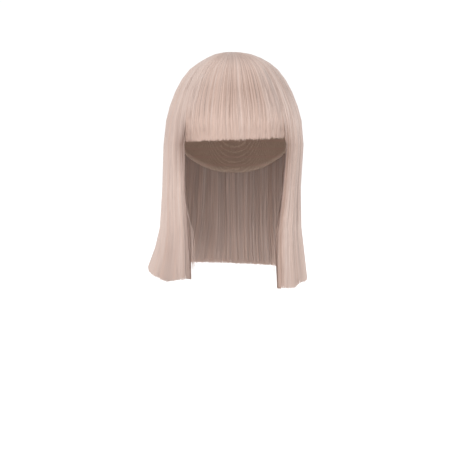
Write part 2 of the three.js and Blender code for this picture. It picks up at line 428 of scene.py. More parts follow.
@dataclass(frozen=True)
class Panel:
    """One panel of hair: the azimuths that it spans and how it is cut and hung.

    Attributes:
        node: The CAD node that it stands for.
        start: Azimuth of its first edge, in degrees from the face.
        end: Azimuth of its last edge.
        locks: Number of locks across it.
        cut: Its cut line.
        thin: Depth where it hangs, as a share of the form's.
        edge: Share of that at its face edge.
        gather: Share by which it narrows as it falls.
        parted: How deep the hair parts between the locks, as a share of the locks' height. Loose hair
            fills the rest.
        curl_mm: How far the tips turn in.
        roll_mm: How far its face edge rolls in towards the cheek.
        streaks: How strongly the tones of its strands differ.
        streak_lean: How much more they differ at its last edge than in its middle, as a share.
        rose: Share of rose fibre in its blend.
        sheen_ash_edges: Painted sheen: how much less rose, and so greyer, it shows at its edges, between
            crown and tips.
        tone: Usual place of its strands between the darkest and the lightest fibre.
        tip_tone: How much lighter it is at the tips.
        bands: Its bands of painted sheen and painted shade, as lighter and darker strands.
        hollow_deg: How far the hollow over the temple reaches from the fringe's line.
        hollow_painted_shade: How much painted shade darkens the hair in the hollow.
        loose: How far its strands lie one over another, as a share of the usual.
        clump: How much the strands of a wisp draw together at the tips.
        fray_mm: How far short of the cut line many tips end.
        seam_rows: Rows between which its strands stop crossing into the next panel.
        overlap: How far they still lie over its edge after that, as a share of its width.
        hang_bends: Rows at which its strands bend after those over the head.
    """

    node: str
    start: float
    end: float
    locks: int
    cut: tuple[tuple[float, float], ...]
    thin: float = 1.0
    edge: float = 1.0
    gather: float = 0.0
    parted: float = 0.25
    curl_mm: float = 0.0
    roll_mm: float = 0.0
    streaks: float = 1.0
    streak_lean: float = 0.0
    rose: float = 0.5
    sheen_ash_edges: float = 0.0
    tone: float = 0.5
    tip_tone: float = 0.0
    bands: tuple[SheenShadeBand, ...] = ()
    hollow_deg: float = 12.0
    hollow_painted_shade: float = 0.2
    loose: float = 1.0
    clump: float = 0.15
    fray_mm: float = 1.0
    seam_rows: Rows = Rows(5.2, 6.4)
    overlap: float = 0.004
    hang_bends: tuple[float, ...] = (6.2, 7.3, 8.5, 9.15)

    @property
    def bends(self) -> tuple[float, ...]:
        """All the rows at which its strands bend."""
        return HEAD_BENDS + self.hang_bends

    @property
    def span_mm(self) -> float:
        """Width of the panel where the head is widest."""
        return math.radians(self.end - self.start) * PANEL_REACH_MM

    @property
    def face_end(self) -> float:
        """Place across the panel of its edge at the face."""
        return 1.0 if self.end < 0 else 0.0

    @property
    def inwards(self) -> float:
        """The way over its face edge: 1 where that is its last edge and -1 where it is its first."""
        return 2 * self.face_end - 1

    def azimuth(self, across: np.ndarray, row: np.ndarray) -> np.ndarray:
        """The azimuths of places across the panel, which narrows and wanders a little as it falls.

        Args:
            across: Places across the panel, 0 to 1.
            row: Rows counted from the crown.

        Returns:
            Degrees from the face.
        """
        narrow = 1 - self.gather * GATHER_ROWS.share(row)
        wave = np.sin(SWAY_HALF_WAVES * np.pi * across + SWAY_PER_ROW * row)
        sway = SWAY_DEG * wave * SWAY_ROWS.share(row) * np.sin(np.pi * np.clip(across, 0, 1))
        return evened(self.start + (self.end - self.start) * across) * narrow + sway

    def lock_height(self, across: np.ndarray) -> np.ndarray:
        """How high the locks stand.

        Args:
            across: Places across the panel.

        Returns:
            Heights as shares: 1 on the highest crest and 0 in a valley.
        """
        cycle = [LOCK_CYCLE[i % len(LOCK_CYCLE)] for i in range(self.locks)]
        whole = sum(lock.width for lock in cycle)
        places, heights, begin = [], [], 0.0
        for lock in cycle:
            for place, height in lock.section:
                places.append((begin + lock.width * place) / whole)
                heights.append(height)
            begin += lock.width
        return np.interp(across, [*places, 1.0], [*heights, 0.0])

    def tip_level(self, across: np.ndarray) -> np.ndarray:
        """Level of the cut line at a place across the panel, in metres."""
        azimuths, levels = zip(*self.cut)
        return np.interp(wrapped(self.start + (self.end - self.start) * across), azimuths, levels) * MM

    def stations(self, first: int, tip: np.ndarray) -> np.ndarray:
        """Rows of the points along strands.

        Args:
            first: Number of the bend at which they start.
            tip: Row where each ends, as a column.

        Returns:
            Rows, by strand and station.
        """
        bends = np.array(self.bends[first:])
        tip = np.maximum(tip, bends[-1] + LAST_STEP)
        return np.column_stack([np.tile(bends, (len(tip), 1)), tip])

    def surface(self, across: np.ndarray, row: np.ndarray) -> tuple[np.ndarray, np.ndarray, np.ndarray]:
        """The outside of the panel's form, the way in from it and the depth of the hair there.

        Args:
            across: Places across the panel, 0 to 1.
            row: Rows counted from the crown.

        Returns:
            Points, unit vectors and depths in metres.
        """
        azimuth = self.azimuth(across, row)
        turned, round_back = combed(azimuth, row), rearward(azimuth)
        outside = HAIR.place(turned, row)
        inward = HEAD.place(turned, np.minimum(row, LAST_CAP_ROW)) - outside
        laid = np.linalg.norm(inward, axis=-1) - CAP_WALL - LAY_GAP
        full = np.maximum(np.clip(round_back / EDGE_SHARE, 0, 1), EDGE_ROWS.share(row))
        hung = HAIR.column("body", row) * self.thin * (self.edge + (1 - self.edge) * full)
        first = FACE_HANG.start + (BACK_HANG.start - FACE_HANG.start) * round_back
        last = FACE_HANG.end + (BACK_HANG.end - FACE_HANG.end) * round_back
        hangs = smoothstep(row, first, last)
        level = -unit(outside * np.array([1, 1, 0]))
        turn = LEVEL_ROWS.share(row)[..., None]
        way = unit(unit(inward) * (1 - turn) + level * turn)
        return outside, way, laid * (1 - hangs) + hung * hangs

    def hollow(self, across: np.ndarray, row: np.ndarray) -> np.ndarray:
        """How far into the hollow over the temple a place lies: 1 in its middle and 0 outside it."""
        beside = np.abs(np.abs(wrapped(self.azimuth(across, row))) - FRINGE_EDGE_DEG)
        return (1 - smoothstep(beside, 0, self.hollow_deg)) * between(row, HOLLOW_IN, HOLLOW_OUT)

    def shade(self, across: np.ndarray, row: np.ndarray) -> np.ndarray:
        """The usual tone of the strands at a place, with the painted sheen and painted shade of the panel's
        bands and the change to its tips.

        Args:
            across: Places across the panel.
            row: Rows counted from the crown.

        Returns:
            Tones, of row's shape.
        """
        from_face = np.abs(across - self.face_end) * self.span_mm
        cut = HAIR.row_at(self.tip_level(across))
        tone = self.tone + self.tip_tone * near_tip(row, cut, TIP_ROWS)
        # Painted sheen and painted shade from the panel's bands
        for band in self.bands:
            share = np.exp(-(((from_face - band.from_face) / band.half) ** 2))
            tone = tone + band.tone * share * between(row, band.rows, band.fade)
        return tone

    def ash(self, across: np.ndarray, row: np.ndarray) -> np.ndarray:
        """Painted sheen: how much less rose, and so greyer, the panel shows at a place, which grows towards
        its edges.
        """
        return self.sheen_ash_edges * (2 * across - 1) ** 2 * between(row, SHEEN_ASH_IN, SHEEN_ASH_OUT)

    def relief(self, across: np.ndarray, row: np.ndarray) -> np.ndarray:
        """How far the hair lies under the form's outside, in metres.

        Args:
            across: Places across the panel.
            row: Rows counted from the crown.

        Returns:
            Depths between the locks, in the hollows beside the fringe, where the tips turn in and where the
            sides roll in at the face.
        """
        valley = (1 - self.lock_height(across)) * HAIR.column("proud", row) * self.parted
        hollow = HOLLOW_MM * MM * self.hollow(across, row)
        cut = HAIR.row_at(self.tip_level(across))
        curl = self.curl_mm * MM * np.clip((row - cut) / CURL_ROWS + 1, 0, MOST_CURL) ** 2
        from_face = np.abs(across - self.face_end) * self.span_mm
        roll = self.roll_mm * MM * np.clip(1 - from_face / ROLL_WIDE_MM, 0, 1) ** 2 * ROLL_ROWS.share(row)
        return valley + hollow + curl + roll

    def skin(self, across: np.ndarray, row: np.ndarray) -> np.ndarray:
        """The combed surface of the hair, under the form's outside by its relief."""
        outside, way, _ = self.surface(across, row)
        return outside + way * self.relief(across, row)[..., None]

    def normal(self, across: np.ndarray, row: np.ndarray) -> np.ndarray:
        """Unit vectors away from the combed surface, from its slopes to both sides.

        Args:
            across: Places across the panel.
            row: Rows counted from the crown.

        Returns:
            The vectors, with one axis more than row.
        """
        aside = SLOPE_MM / self.span_mm
        above = np.maximum(row - SLOPE_ROWS, CROWN_ROW)
        right = self.skin(across + aside, row) - self.skin(across - aside, row)
        down = self.skin(across, row + SLOPE_ROWS) - self.skin(across, above)
        return unit(np.cross(down, right))


# The bands of painted sheen and painted shade of each panel: lighter where the hair catches the light,
# darker in the shade over the temples, at the fringe's ends and at the sides' face edges, and darker near
# the whorl
FRINGE_SHEEN_SHADE = (
    SheenShadeBand(75, 60, -0.4, Rows(0.0, 0.1), Rows(1.6, 3.2)),
    SheenShadeBand(0, 45, 0.17, Rows(1.6, 2.4), Rows(3.2, 4.2)),
    SheenShadeBand(149, 45, 0.16, Rows(1.6, 2.4), Rows(3.0, 3.8)),
    SheenShadeBand(75, 90, -0.1, Rows(3.3, 4.0), Rows(4.5, 5.2)),
    SheenShadeBand(88, 40, -0.14, Rows(3.3, 3.9), Rows(4.0, 4.8)),
    SheenShadeBand(30, 25, -0.08, Rows(3.8, 4.6)),
    SheenShadeBand(2, 12, -0.34, Rows(5.0, 5.6)),
    SheenShadeBand(75, 90, 0.1, Rows(5.0, 5.8)),
)
RIGHT_SHEEN_SHADE = (
    SheenShadeBand(40, 90, 0.12, Rows(1.6, 2.4), Rows(3.2, 4.2)),
    SheenShadeBand(20, 30, 0.2, Rows(3.8, 4.4), Rows(5.3, 6.2)),
    SheenShadeBand(40, 60, -0.14, Rows(5.0, 5.8), Rows(7.0, 8.0)),
    SheenShadeBand(7, 7, -0.16, Rows(5.2, 5.8), Rows(6.5, 7.1)),
    SheenShadeBand(0, 6, -0.32),
    SheenShadeBand(13, 6, 0.14),
    SheenShadeBand(36, 10, -0.14),
)
LEFT_SHEEN_SHADE = (
    SheenShadeBand(30, 60, 0.12, Rows(1.6, 2.4), Rows(3.4, 4.4)),
    SheenShadeBand(40, 60, -0.14, Rows(4.8, 5.4), Rows(6.4, 7.2)),
    SheenShadeBand(0, 3.5, -0.25),
    SheenShadeBand(0, 8, -0.2, Rows(7.4, 8.4)),
    SheenShadeBand(8, 4, 0.06),
    SheenShadeBand(21, 11, -0.32, Rows(7.8, 9.2)),
    SheenShadeBand(52, 14, 0.06),
)
FRINGE = Panel(
    "fringe", -FRINGE_EDGE_DEG, FRINGE_EDGE_DEG, 15, FRINGE_CUT,
    thin=0.72, gather=0.065, parted=0.1, curl_mm=3.5, streaks=1.9, streak_lean=0.55, rose=1.0,
    sheen_ash_edges=0.8, loose=0.75, bands=FRINGE_SHEEN_SHADE, fray_mm=2.6, seam_rows=Rows(5.2, 7.0), hang_bends=(),
)
RIGHT_SIDE = Panel(
    "side_hair_right", FRINGE_EDGE_DEG, SIDE_EDGE_DEG, 7, HAIR_CUT,
    edge=0.55, parted=0.1, roll_mm=5, streaks=2.3, rose=0.55, tip_tone=0.1, loose=0.6, clump=0.3,
    bands=RIGHT_SHEEN_SHADE, fray_mm=2.0,
)
LEFT_SIDE = Panel(
    "side_hair_left", -SIDE_EDGE_DEG, -FRINGE_EDGE_DEG, 7, HAIR_CUT,
    edge=0.55, parted=0.1, roll_mm=5, streaks=0.75, rose=0.25, loose=0.45, clump=0,
    bands=LEFT_SHEEN_SHADE, hollow_deg=12, hollow_painted_shade=0.62,
)
BACK = Panel("back_hair", SIDE_EDGE_DEG, 360 - SIDE_EDGE_DEG, 14, HAIR_CUT, overlap=0.012)


# Finishes


class Finish:
    """A finish that one principled shader gives."""

    name: str

    def inputs(self, tree: bpy.types.NodeTree) -> dict[str, object]:
        """The shader's inputs, as values or as outputs of nodes that are added for them."""
        raise NotImplementedError

    def make(self) -> bpy.types.Material:
        """Build the material.

        Returns:
            A material with the finish's name and nodes.
        """
        material = bpy.data.materials.new(self.name)
        material.use_nodes = True
        tree = material.node_tree
        tree.nodes.clear()
        shader = add_node(tree, "ShaderNodeBsdfPrincipled", inputs=self.inputs(tree))
        add_node(tree, "ShaderNodeOutputMaterial", inputs={"Surface": shader.outputs["BSDF"]})
        return material


# Painted shade: hair hidden from the light goes down to this tone, in the deep colour
PAINTED_SHADE_TONE = -0.35  # tone of hair that is hidden from the light
# The tone and rose marks also carry the hair's painted sheen and painted shade
STRAND_MARKS = ("tone", "rose", "along")  # attributes of the hair that its material reads


@dataclass(frozen=True)
class FibreColour:
    """One dyed fibre, as sRGB hex colours from the painted shade of hidden hair over its darkest strands to
    its lightest.
    """

    deep: str
    shade: str
    middle: str
    light: str

    def ramp(self, tree: bpy.types.NodeTree, tone: bpy.types.NodeSocket) -> bpy.types.NodeSocket:
        """Add the fibre's colours by tone.

        Args:
            tree: The material's nodes.
            tone: Place between the darkest strand, 0, and the lightest, 1. Painted shade takes hidden hair
                below 0.

        Returns:
            The colour.
        """
        share = add_node(tree, "ShaderNodeMapRange", inputs={"Value": tone, "From Min": PAINTED_SHADE_TONE})
        node = add_node(tree, "ShaderNodeValToRGB", inputs={"Fac": share.outputs["Result"]})
        stops = node.color_ramp.elements
        stops[0].position, stops[0].color = 0.0, srgb(self.deep)
        stops[1].position, stops[1].color = 1.0, srgb(self.light)
        for tone_there, code in ((0.0, self.shade), (0.5, self.middle)):
            stops.new((tone_there - PAINTED_SHADE_TONE) / (1 - PAINTED_SHADE_TONE)).color = srgb(code)
        return node.outputs["Color"]


@dataclass(frozen=True)
class SyntheticFibre(Finish):
    """Heat-resistant synthetic hair: drawn fibre, smooth and satin, a blend of ash and rose beige.

    Each strand has a tone of its own, so a combed panel shows fine streaks from taupe to near white,
    and the smooth fibre gives the whole a soft sheen. The tones also hold painted sheen and painted shade,
    and the blend shows less rose where painted sheen greys the hair. The strands are a little darker at the
    roots.
    """

    name: str = "synthetic_hair_fibre"
    # The first colour of each fibre is the painted shade of hidden hair
    ash: FibreColour = FibreColour("866B5F", "A79087", "CBB5AB", "E3D3CB")
    rose: FibreColour = FibreColour("866858", "AA8C7E", "CDB0A2", "E6CCC0")
    root: str = "AB9083"
    root_share: float = 0.16
    root_weight: float = 0.5
    roughness: float = 0.42
    ior: float = 1.5
    sheen: float = 0.2
    sheen_roughness: float = 0.5

    def inputs(self, tree: bpy.types.NodeTree) -> dict[str, object]:
        """Blend the two fibres by the marks of each strand.

        Args:
            tree: The material's nodes.

        Returns:
            The shader's inputs.
        """
        read = {
            name: add_node(tree, "ShaderNodeAttribute", {"attribute_name": name}).outputs["Fac"]
            for name in STRAND_MARKS
        }
        blend = add_node(
            tree, "ShaderNodeMix", {"data_type": "RGBA"},
            {
                "Factor": read["rose"],
                "A": self.ash.ramp(tree, read["tone"]),
                "B": self.rose.ramp(tree, read["tone"]),
            },
        )
        fade = add_node(
            tree, "ShaderNodeMapRange", {"interpolation_type": "SMOOTHSTEP"},
            {"Value": read["along"], "From Max": self.root_share, "To Min": self.root_weight, "To Max": 0.0},
        )
        colour = add_node(
            tree, "ShaderNodeMix", {"data_type": "RGBA"},
            {"Factor": fade.outputs["Result"], "A": blend.outputs["Result"], "B": srgb(self.root)},
        )
        return {
            "Base Color": colour.outputs["Result"],
            "Roughness": self.roughness,
            "IOR": self.ior,
            "Sheen Weight": self.sheen,
            "Sheen Roughness": self.sheen_roughness,
        }


WAVE_PERIOD = 0.314  # length of one band of a wave texture whose scale is 1


@dataclass(frozen=True)
class StretchNet(Finish):
    """Knitted stretch net: matt beige loops, with the sewn rows that carry the hair showing as bands.

    The knit shows as a fine matt grain, and the rows, 11 mm apart, as slightly darker lines round the cap.
    Real loops are about 1 mm: they are drawn coarser so that the picture can show them.
    """

    name: str = "knitted_stretch_net"
    yarn: str = "CDB7A6"
    gap: str = "A98F7F"
    row: str = "BFA294"
    loop_mm: float = 1.6
    loop_chance: float = 0.35
    yarn_share: float = 0.22
    row_mm: float = 11.0
    row_waver: float = 0.6
    row_edge: tuple[float, float] = (0.72, 0.95)
    row_weight: float = 0.8
    relief: float = 0.6
    relief_mm: float = 0.4
    roughness: float = 0.9

    def inputs(self, tree: bpy.types.NodeTree) -> dict[str, object]:
        """Knit the loops and sew the rows on, by Object coordinates.

        Args:
            tree: The material's nodes.

        Returns:
            The shader's inputs.
        """
        place = add_node(tree, "ShaderNodeTexCoord")
        loops = add_node(
            tree, "ShaderNodeTexVoronoi", {"feature": "DISTANCE_TO_EDGE"},
            {
                "Vector": place.outputs["Object"],
                "Scale": 1 / (self.loop_mm * MM),
                "Randomness": self.loop_chance,
            },
        )
        knit = add_node(
            tree, "ShaderNodeMapRange",
            inputs={"Value": loops.outputs["Distance"], "From Max": self.yarn_share},
        )
        rows = add_node(
            tree, "ShaderNodeTexWave", {"bands_direction": "Z", "wave_profile": "SIN"},
            {
                "Vector": place.outputs["Object"],
                "Scale": WAVE_PERIOD / (self.row_mm * MM),
                "Distortion": self.row_waver,
            },
        )
        faint, full = self.row_edge
        sewn = add_node(
            tree, "ShaderNodeMapRange",
            inputs={
                "Value": rows.outputs["Fac"], "From Min": faint, "From Max": full, "To Max": self.row_weight
            },
        )
        net = add_node(
            tree, "ShaderNodeMix", {"data_type": "RGBA"},
            {"Factor": knit.outputs["Result"], "A": srgb(self.yarn), "B": srgb(self.gap)},
        )
        colour = add_node(
            tree, "ShaderNodeMix", {"data_type": "RGBA"},
            {"Factor": sewn.outputs["Result"], "A": net.outputs["Result"], "B": srgb(self.row)},
        )
        bump = add_node(
            tree, "ShaderNodeBump", {"invert": True},
            {"Strength": self.relief, "Distance": self.relief_mm * MM, "Height": knit.outputs["Result"]},
        )
        return {
            "Base Color": colour.outputs["Result"],
            "Roughness": self.roughness,
            "Normal": bump.outputs["Normal"],
        }


@dataclass(frozen=True)
class StudioPaper(Finish):
    """Seamless white paper, lit until it is as white as the air behind it."""

    name: str = "white_studio_paper"
    white: str = "FFFFFF"
    roughness: float = 0.9
    glow: float = 0.25

    def inputs(self, tree: bpy.types.NodeTree) -> dict[str, object]:
        """Plain white that glows a little, so that it stays white where the wig shades it.

        Args:
            tree: The material's nodes.

        Returns:
            The shader's inputs.
        """
        return {
            "Base Color": srgb(self.white),
            "Roughness": self.roughness,
            "Emission Color": srgb(self.white),
            "Emission Strength": self.glow,
        }


# Hair


@dataclass
class Strands:
    """Centre lines of many strands, with what their meshes and their material need.

    Attributes:
        centres: Points, by strand and station.
        outward: Unit vectors away from the combed surface, by strand and station.
        width: Width of each strand.
        tone: Place between the darkest and the lightest fibre, by strand and station, with painted sheen and
            painted shade.
        rose: Place between ash and rose fibre, by strand and station, with less rose where painted sheen
            greys the hair.
        along: Share of the way from the crown to the cut line, by strand and station.
    """

    centres: np.ndarray
    outward: np.ndarray
    width: np.ndarray
    tone: np.ndarray
    rose: np.ndarray
    along: np.ndarray

    @property
    def axes(self) -> tuple[np.ndarray, np.ndarray, np.ndarray]:
        """Unit vectors along the strands, across them and up from the head, by strand and station."""
        along = unit(np.gradient(self.centres, axis=1))
        across = unit(np.cross(along, self.outward))
        return along, across, np.cross(across, along)


class Lie(Enum):
    """Where a layer of strands lies in its panel."""

    OUTSIDE = "under the combed surface"
    INSIDE = "above the inside of the hair"
    FACE_EDGE = "through the depth of the edge at the face"


@dataclass(frozen=True)
class Layer:
    """One layer of strands in a panel.

    Attributes:
        strands: How many there are.
        first: Number of the panel's bend at which they start.
        sink: How far from the surface they lie, from and to, in mm.
        lie: The surface that sink is counted from.
    """

    strands: int
    first: int
    sink: tuple[float, float]
    lie: Lie = Lie.OUTSIDE


FRINGE_LAYERS = (
    Layer(1500, 0, (0.0, 0.7)),
    Layer(700, 4, (0.0, 0.9)),
    Layer(900, 6, (0.0, 0.9)),
    Layer(500, 5, (0.9, 3.0)),
    Layer(700, 7, (0.2, 1.8), Lie.INSIDE),
)
BACK_LAYERS = (
    Layer(1050, 0, (0.0, 0.8)),
    Layer(400, 4, (0.0, 1.0)),
    Layer(600, 6, (0.0, 1.0)),
    Layer(250, 5, (1.0, 3.5)),
    Layer(600, 9, (0.2, 1.8), Lie.INSIDE),
)
SIDE_LAYERS = (*BACK_LAYERS, Layer(300, 8, (0.0, 1.0), Lie.FACE_EDGE))
FACE_EDGE_SHARE = 0.02  # part of a side that the strands of its face edge come from
# Painted shade: strands inside the hair and at the face edge are darker, for the shade they lie in
LIE_PAINTED_SHADE = {Lie.OUTSIDE: 0.0, Lie.INSIDE: 0.14, Lie.FACE_EDGE: 0.1}  # how much darker strands are there


@dataclass(frozen=True)
class Drift:
    """How strands wave from side to side as they fall.

    Attributes:
        mm: How far they go to each side.
        per_row: How much of a wave each row has, in radians.
        rows: Rows over which the wave sets in.
    """

    mm: float
    per_row: float
    rows: Rows

    def at(self, row: np.ndarray, phase: np.ndarray) -> np.ndarray:
        """How far aside strands lie at each row, in mm, by where in the wave each one starts."""
        return self.mm * np.sin(self.per_row * row + phase) * self.rows.share(row)


WISP_DRIFT = Drift(0.6, 0.8, Rows(1, 6))
STRAND_DRIFT = Drift(0.4, 1.7, Rows(2, 7))
STRAY_DRIFT = Drift(0.8, 2.3, Rows(7, 9))

WISP_HALF = (0.5, 1.3)  # half the width of a wisp, least and most, as a share of the usual width
WISP_TONE = 0.05  # spread of the wisps' tones
WISP_ODD_TONES = (0, 0, 0, 0, 0, 0, 0.15, -0.06)  # one wisp in eight is lighter than that and one darker
WISP_ROSE = 0.3  # spread of their shares of rose fibre
WISP_DROP = (0.5, 0.25)  # how far past the cut line they end, mean and spread, as a share of the fray
STRAND_ASIDE = 0.5  # spread of the strands in a wisp, as a share of half its width
MOST_ASIDE = 1.2
STRAND_FRAY = 0.45  # spread of their tips, as a share of the fray
STRAND_TONE = 0.12  # spread of their tones
STRAND_WIDTH = (0.75, 1.25)  # least and most, as a share of the usual
STREAK_RANGE = (-0.6, 0.4)  # how much darker or lighter a strand is at most
STREAK_ROWS = Rows(1.5, 4)  # the strands differ fully in tone from here on
CROWN_STREAK = 0.55  # and by this share at the crown
STREAK_TIP_ROWS = 0.9  # over these last rows they become alike
STREAK_TIP_LOSS = 0.85  # by this share
BURY_MM = 2.6  # strands that start below the crown come from this far under the others
BURY_ROWS = 2.0  # and come up over these rows


@dataclass
class Wisps:
    """Small bundles that strands cling together in, side by side over a panel or a part of it.

    Attributes:
        middle: Place of each across the panel.
        half_mm: Half its width.
        tone: How much lighter it is than the panel.
        rose: Its place between ash and rose fibre.
        drop_mm: How far past the cut line it ends.
        phase: Where in its wave it starts.
    """

    middle: np.ndarray
    half_mm: np.ndarray
    tone: np.ndarray
    rose: np.ndarray
    drop_mm: np.ndarray
    phase: np.ndarray

    @classmethod
    def draw(
        cls, panel: Panel, first: float, last: float, wide_mm: float, rng: np.random.Generator
    ) -> "Wisps":
        """Draw wisps by chance.

        Args:
            panel: The panel.
            first: Place across the panel where they begin.
            last: Place where they end.
            wide_mm: Usual width of a wisp.
            rng: Seeded source of chance.

        Returns:
            The wisps, in order across the panel.
        """
        count = math.ceil(panel.span_mm * (last - first) / wide_mm)
        return cls(
            middle=first + (last - first) * (np.arange(count) + rng.uniform(0, 1, count)) / count,
            half_mm=rng.uniform(*WISP_HALF, count) * wide_mm,
            tone=rng.normal(0, WISP_TONE, count) + rng.choice(WISP_ODD_TONES, count),
            rose=rng.normal(panel.rose, WISP_ROSE, count),
            drop_mm=rng.normal(*WISP_DROP, count) * panel.fray_mm,
            phase=rng.uniform(0, 2 * np.pi, count),
        )

    def pick(self, numbers: np.ndarray) -> "Wisps":
        """The wisps with these numbers, with each value as a column."""
        return Wisps(*(values[numbers][:, None] for values in astuple(self)))


@dataclass(frozen=True)
class Strays:
    """Loose strands from the inside of a side that fall in past its face edge.

    Attributes:
        count: How many there are.
        stations: Points along each.
        first_row: Row where they start.
        inside_mm: How far behind the edge they start.
        past_mm: How far past it they fall at most.
        leave: First and last row at which they set off.
        leave_rows: Rows over which they cross.
        tip_mm: Highest level of their tips.
        tip_spread_mm: How much lower some end.
        depth: Least and most depth in the hair, as a share of its own.
        tone: Mean and spread of their tones.
        width: Least and most width, as a share of the usual.
    """

    count: int
    stations: int = 8
    first_row: float = 6.2
    inside_mm: float = 3.0
    past_mm: float = 9.0
    leave: tuple[float, float] = (6.6, 8.2)
    leave_rows: float = 2.0
    tip_mm: float = -258.0
    tip_spread_mm: float = 12.0
    depth: tuple[float, float] = (0.5, 1.1)
    tone: tuple[float, float] = (0.5, 0.12)
    width: tuple[float, float] = (0.5, 0.8)

    def fall(self, panel: Panel, strand_mm: float, rng: np.random.Generator) -> Strands:
        """Let the strands fall.

        Args:
            panel: The side that they belong to.
            strand_mm: Usual width of a strand.
            rng: Seeded source of chance.

        Returns:
            The strands' centre lines.
        """
        column = (self.count, 1)
        past_mm = rng.uniform(0, self.past_mm, column) + self.inside_mm
        leave = rng.uniform(*self.leave, column)
        tip = HAIR.row_at((self.tip_mm - rng.uniform(0, self.tip_spread_mm, column)) * MM)
        row = np.linspace(self.first_row, tip[:, 0], self.stations, axis=1)
        wave_mm = STRAY_DRIFT.at(row, rng.uniform(0, 2 * np.pi, column))
        past = -self.inside_mm + past_mm * smoothstep(row, leave, leave + self.leave_rows) + wave_mm
        across = panel.face_end + panel.inwards * past / panel.span_mm
        outside, way, depth = panel.surface(across, row)
        under = depth * rng.uniform(*self.depth, column)
        tone = np.repeat(rng.normal(*self.tone, column).clip(0, 1), self.stations, axis=1)
        width = rng.uniform(*self.width, self.count) * strand_mm * MM
        centres, rose = outside + way * under[..., None], np.full_like(row, panel.rose)
        return Strands(centres, panel.normal(across, row), width, tone, rose, row / tip)


@dataclass
class HairPiece:
    """A joined mesh of strands over a part of a panel.

    Attributes:
        name: The piece's name.
        panel: The panel that it belongs to.
        layers: Its layers of strands.
        part: The places across the panel between which its strands lie.
        strays: Loose strands that fall in past the face edge, if any.
        wisp_mm: Usual width of a wisp.
        strand_mm: Usual width of a strand. Real fibre is finer than the picture can show.
    """

    name: str
    panel: Panel
    layers: tuple[Layer, ...]
    part: tuple[float, float] = (0.0, 1.0)
    strays: Strays | None = None
    wisp_mm: float = 1.5
    strand_mm: float = 0.48

    def build(self, fibre: bpy.types.Material, rng: np.random.Generator) -> bpy.types.Object:
        """Comb all the layers, join them and stand them for the panel's node.

        Args:
            fibre: The hair's material.
            rng: Seeded source of chance.

        Returns:
            The finished piece.
        """
        batches = [self.comb(layer, rng) for layer in self.layers]
        if self.strays:
            batches.append(self.strays.fall(self.panel, self.strand_mm, rng))
        piece = strand_mesh(self.name, batches)
        dress(piece, fibre, self.panel.node)
        LOG.info("%s: %d strands", self.name, sum(len(b.width) for b in batches))
        return piece

    def comb(self, layer: Layer, rng: np.random.Generator) -> Strands:
        """Lay one layer of strands over the panel.

        Args:
            layer: What the layer holds.
            rng: Seeded source of chance.

        Returns:
            The strands' centre lines.
        """
        panel, column = self.panel, (layer.strands, 1)
        begin, end = self.part
        cross = SEAM_SHARE
        if layer.lie is Lie.FACE_EDGE:
            begin, end = sorted((panel.face_end, abs(panel.face_end - FACE_EDGE_SHARE)))
            cross = 0.0
        wisps = Wisps.draw(panel, begin - cross, end + cross, self.wisp_mm, rng)
        wisp = wisps.pick(rng.integers(0, len(wisps.middle), layer.strands))
        aside = rng.normal(0, STRAND_ASIDE, column).clip(-MOST_ASIDE, MOST_ASIDE)
        fray = rng.normal(0, STRAND_FRAY, column) - rng.exponential(1, column)
        tip = HAIR.row_at(panel.tip_level(wisp.middle) - (wisp.drop_mm + fray * panel.fray_mm) * MM)
        row = panel.stations(layer.first, tip)

        phase = rng.uniform(0, 2 * np.pi, column)
        drift = WISP_DRIFT.at(row, wisp.phase) + STRAND_DRIFT.at(row, phase)
        aside_mm = aside * wisp.half_mm * (1 - panel.clump * near_tip(row, tip, TIP_ROWS)) + drift
        blend = panel.overlap + cross * (1 - panel.seam_rows.share(row))
        across = np.clip(wisp.middle + aside_mm / panel.span_mm, begin - blend, end + blend)
        if layer.lie is Lie.FACE_EDGE:
            across = across + panel.inwards * SPILL_SHARE * (1 - SPILL_ROWS.share(row))

        centres, outward = self.lay(layer, across, row, rng.uniform(*layer.sink, column))
        strength = panel.streaks * (1 + panel.streak_lean * (2 * wisp.middle - 1))
        streak = ((wisp.tone + rng.normal(0, STRAND_TONE, column)) * strength).clip(*STREAK_RANGE)
        fade = CROWN_STREAK + (1 - CROWN_STREAK) * STREAK_ROWS.share(row)
        fade = fade * (1 - STREAK_TIP_LOSS * near_tip(row, tip, STREAK_TIP_ROWS))
        # Their tone: the panel's painted sheen and painted shade, painted shade by where they lie, and their
        # streaks
        tone = (panel.shade(across, row) - LIE_PAINTED_SHADE[layer.lie] + streak * fade).clip(0, 1)
        # Painted shade in the hollow over the temple, which may go darker than the darkest fibre
        if layer.lie is not Lie.FACE_EDGE:
            tone = tone - panel.hollow_painted_shade * panel.hollow(across, row) * PAINTED_DUSK_ROWS.share(row)
        # Less rose fibre at the panel's edges is painted sheen
        rose = (wisp.rose - panel.ash(across, row)).clip(0, 1)
        width = rng.uniform(*STRAND_WIDTH, layer.strands) * self.strand_mm * MM
        return Strands(centres, outward, width, tone, rose, row / tip)

    def lay(
        self, layer: Layer, across: np.ndarray, row: np.ndarray, sink: np.ndarray
    ) -> tuple[np.ndarray, np.ndarray]:
        """Lay strands at their depth in the panel.

        Args:
            layer: The layer that they belong to.
            across: Places across the panel, by strand and station.
            row: Rows counted from the crown, by strand and station.
            sink: How far each lies from the layer's surface: in mm, or as a share of the depth of the edge.

        Returns:
            Points, and unit vectors away from the surface that the strands show.
        """
        panel = self.panel
        outside, way, depth = panel.surface(across, row)
        outward = panel.normal(across, row)
        root = panel.bends[layer.first]
        buried = BURY_MM * MM * (1 - smoothstep(row, root, root + BURY_ROWS)) * (layer.first > 0)
        if layer.lie is Lie.OUTSIDE:
            under = panel.relief(across, row) + sink * panel.loose * MM + buried
        elif layer.lie is Lie.INSIDE:
            under, outward = depth - sink * MM, -outward
        else:
            under = (panel.relief(across, row) + buried) * (1 - sink) + depth * sink
            to_face = np.cross(unit(np.gradient(outside, axis=1)), way) * panel.inwards
            outward = unit(outward * (1 - sink[..., None]) + to_face)
        return outside + way * under[..., None], outward


